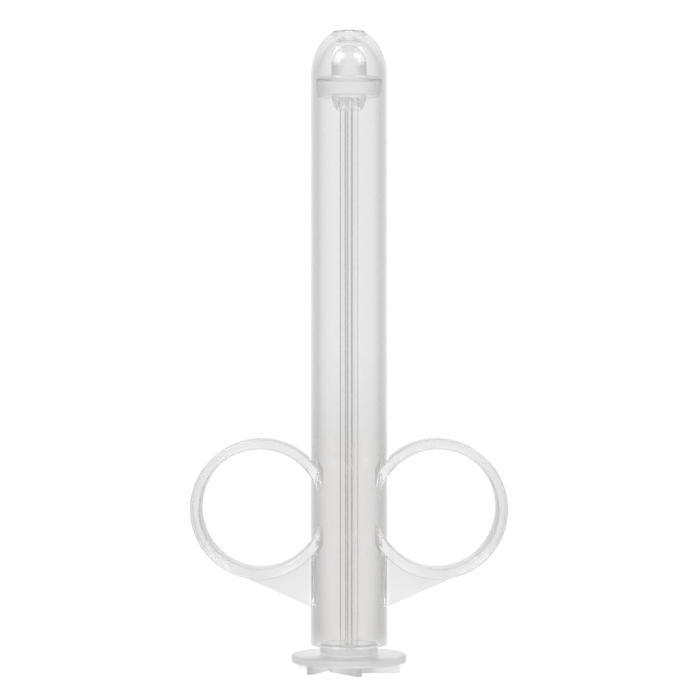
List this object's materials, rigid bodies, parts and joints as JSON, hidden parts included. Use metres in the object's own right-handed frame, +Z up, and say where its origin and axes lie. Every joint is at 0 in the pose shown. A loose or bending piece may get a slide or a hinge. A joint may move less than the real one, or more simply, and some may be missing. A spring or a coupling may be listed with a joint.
{
  "type": "plunger applicator with two finger rings",
  "caption": "Clear plastic plunger applicator with a domed tip, two side finger rings and a round thumb disc; no needle.",
  "frame": {"origin": "middle of the foot, on the plane that the fins under the thumb disc stand on", "axes": "+Z up along the barrel's axis towards the outlet, X through the two finger rings, Y along the rings' bores"},
  "size_m": [0.0662, 0.024, 0.1342],
  "materials": {
    "barrel_plastic": "gloss, clear",
    "plunger_plastic": "gloss, clear",
    "piston_plastic": "gloss, clear"
  },
  "bodies": {
    "barrel": {"barrel_tube": "barrel_plastic", "nose_dome": "barrel_plastic", "outlet_lip": "barrel_plastic", "finger_ring_left": "barrel_plastic", "finger_ring_right": "barrel_plastic", "ring_web_left": "barrel_plastic", "ring_web_right": "barrel_plastic"},
    "piston": {"piston_nose": "piston_plastic", "piston_seal": "piston_plastic", "piston_tail": "piston_plastic"},
    "plunger": {"plunger_rod": "plunger_plastic", "guide_boss": "plunger_plastic", "thumb_disc": "plunger_plastic", "thumb_hub": "plunger_plastic", "thumb_fin_1": "plunger_plastic", "thumb_fin_2": "plunger_plastic", "thumb_fin_3": "plunger_plastic", "thumb_fin_4": "plunger_plastic", "thumb_fin_5": "plunger_plastic", "thumb_fin_6": "plunger_plastic"}
  },
  "joints": [
    {"name": "plunger_slide", "type": "slide", "parent": "barrel", "child": "piston", "axis": [0, 0, -1], "range_m": [0, 0.1]},
    {"name": "plunger_spin", "type": "hinge", "parent": "piston", "child": "plunger", "pos_m": [0, 0, 0.1202], "axis": [0, 0, 1], "continuous": true}
  ]
}
